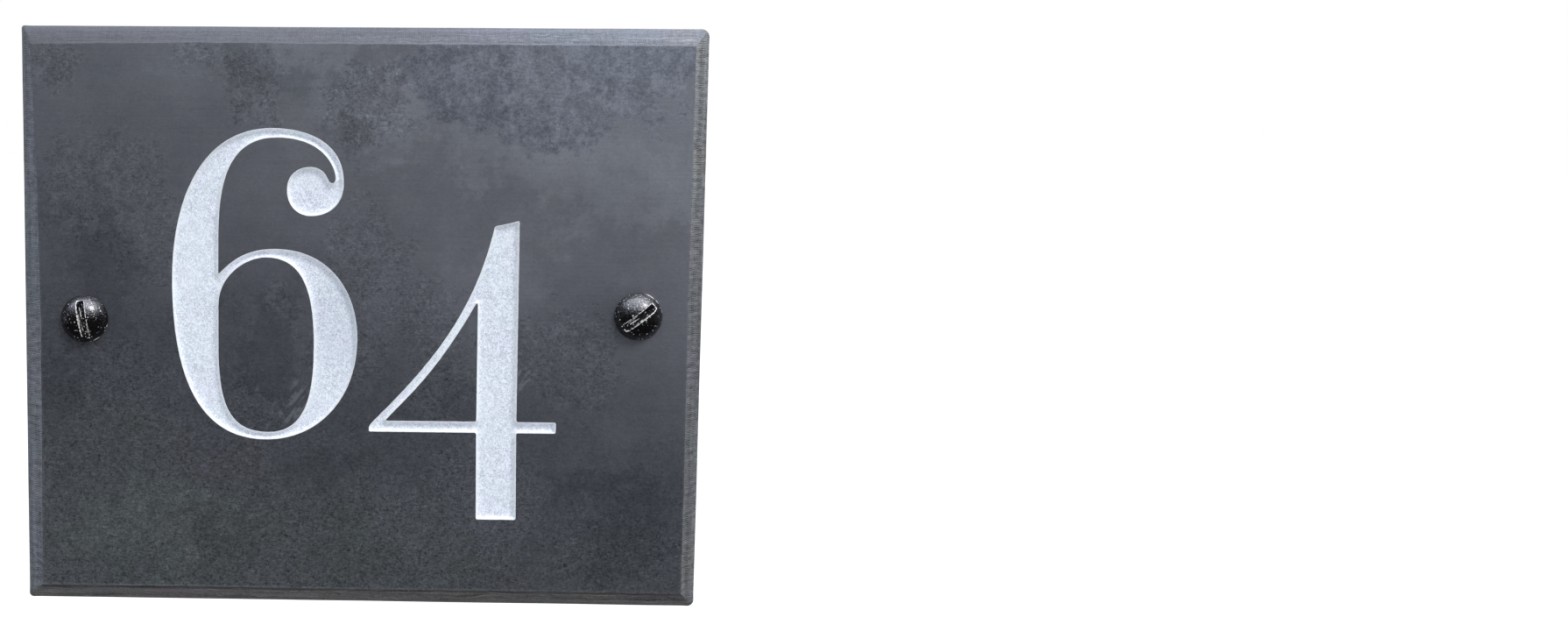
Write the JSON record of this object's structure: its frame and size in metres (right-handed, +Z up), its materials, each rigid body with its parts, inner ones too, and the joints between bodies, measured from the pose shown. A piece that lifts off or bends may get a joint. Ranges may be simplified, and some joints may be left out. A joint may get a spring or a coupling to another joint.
{
  "type": "slate house sign",
  "caption": "Rectangular bevelled slate house sign with carved white-painted numerals, held by slotted round-head screws.",
  "frame": {"origin": "centre of the flat back face, which lies against the wall", "axes": "+Z up, +X to the right as seen from the street, +Y into the wall, so the carved face looks along -Y"},
  "size_m": [0.15, 0.0417, 0.128],
  "materials": {
    "slate": "honed natural slate, matt blue-grey with lighter clouds",
    "white_enamel": "brushed white enamel over a rough carved floor",
    "black_screw": "glossy black japanned steel, worn bright at the slot"
  },
  "bodies": {
    "root": {"slate_plaque": "slate", "six_paint": "white_enamel", "four_paint": "white_enamel", "screw_left": "black_screw", "screw_right": "black_screw"}
  },
  "joints": []
}
